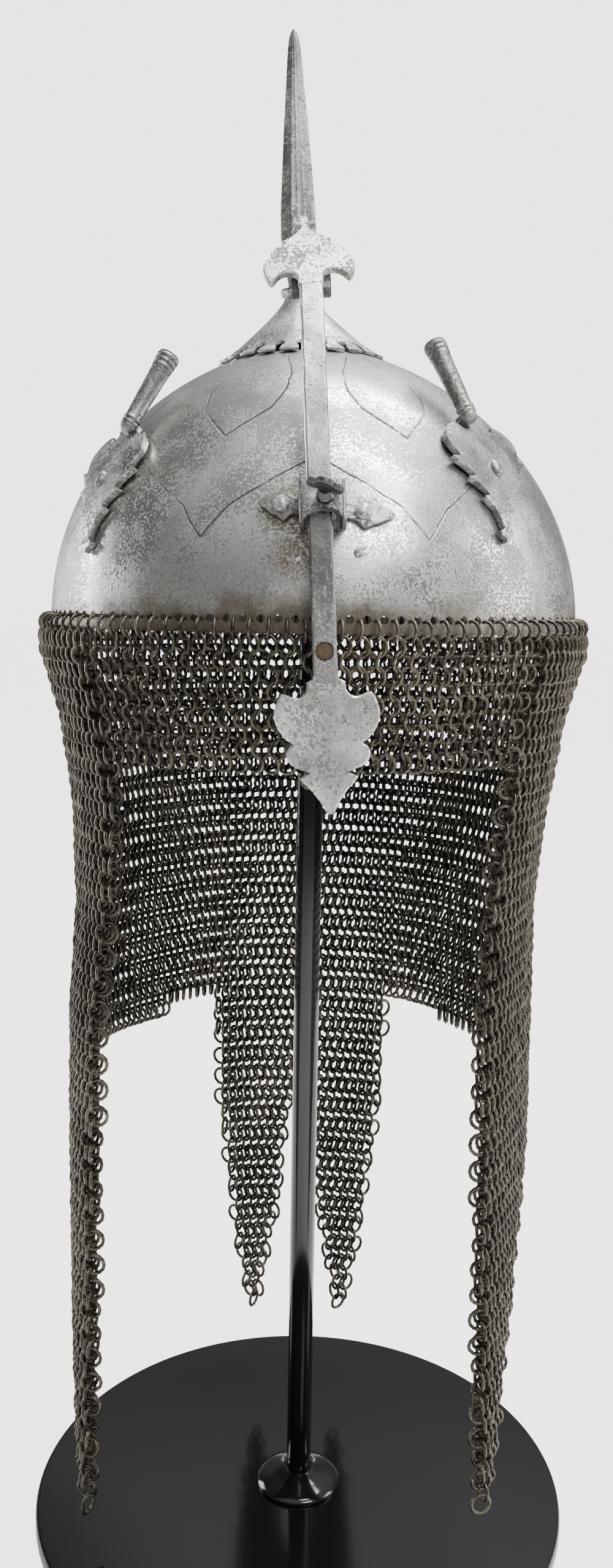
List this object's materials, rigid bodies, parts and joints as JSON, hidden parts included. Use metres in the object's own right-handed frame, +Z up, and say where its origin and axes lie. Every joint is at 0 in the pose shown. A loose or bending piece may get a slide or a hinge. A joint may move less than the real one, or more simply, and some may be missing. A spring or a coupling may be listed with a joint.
{
  "type": "kulah khud helmet on its display stand",
  "caption": "Raised steel helmet with a bladed spike, sliding nasal bar, plume holders and a long-pointed mail curtain, resting on a plain black pole stand.",
  "frame": {"origin": "middle of the stand base's underside", "axes": "+Z up along the pole, -Y towards the front of the helmet, where its nasal bar is, +X to the right seen from the front"},
  "size_m": [0.2294, 0.2353, 0.6099],
  "materials": {
    "black_gloss": "gloss black paint",
    "bowl_steel": "pale polished steel, finely pitted, brown at the rim",
    "nasal_steel": "pale polished steel with dark pits",
    "fitting_steel": "worn grey steel",
    "dark_steel": "dark rough steel with bright edges",
    "brown_plug": "brown patina",
    "mail_iron": "dark oiled iron with olive-brown patina"
  },
  "bodies": {
    "root": {"stand_base": "black_gloss", "stand_flange": "black_gloss", "stand_pole": "black_gloss", "stand_head": "black_gloss", "bowl": "bowl_steel", "apex_plate": "bowl_steel", "spike": "dark_steel", "nasal_bracket": "fitting_steel", "bracket_rivet_left": "fitting_steel", "bracket_rivet_right": "fitting_steel", "bowl_stud": "fitting_steel", "plume_holder_left": "fitting_steel", "plume_holder_right": "fitting_steel", "holder_rivet_left": "fitting_steel", "holder_rivet_right": "fitting_steel", "mail_curtain": "mail_iron"},
    "nasal": {"nasal_bar": "nasal_steel", "nasal_plug": "brown_plug"},
    "screw": {"set_screw": "dark_steel"}
  },
  "joints": [
    {"name": "nasal_slide", "type": "hinge", "parent": "root", "child": "nasal", "pos_m": [0.00592, 0.1888, 0.35394], "axis": [-0.9987, 0, -0.0506], "range_deg": [-13.3, 8.5]},
    {"name": "screw_turn", "type": "hinge", "parent": "root", "child": "screw", "pos_m": [0.00401, -0.10212, 0.42719], "axis": [-0.0124, -0.9697, 0.2439], "range_deg": [0, 360]}
  ]
}
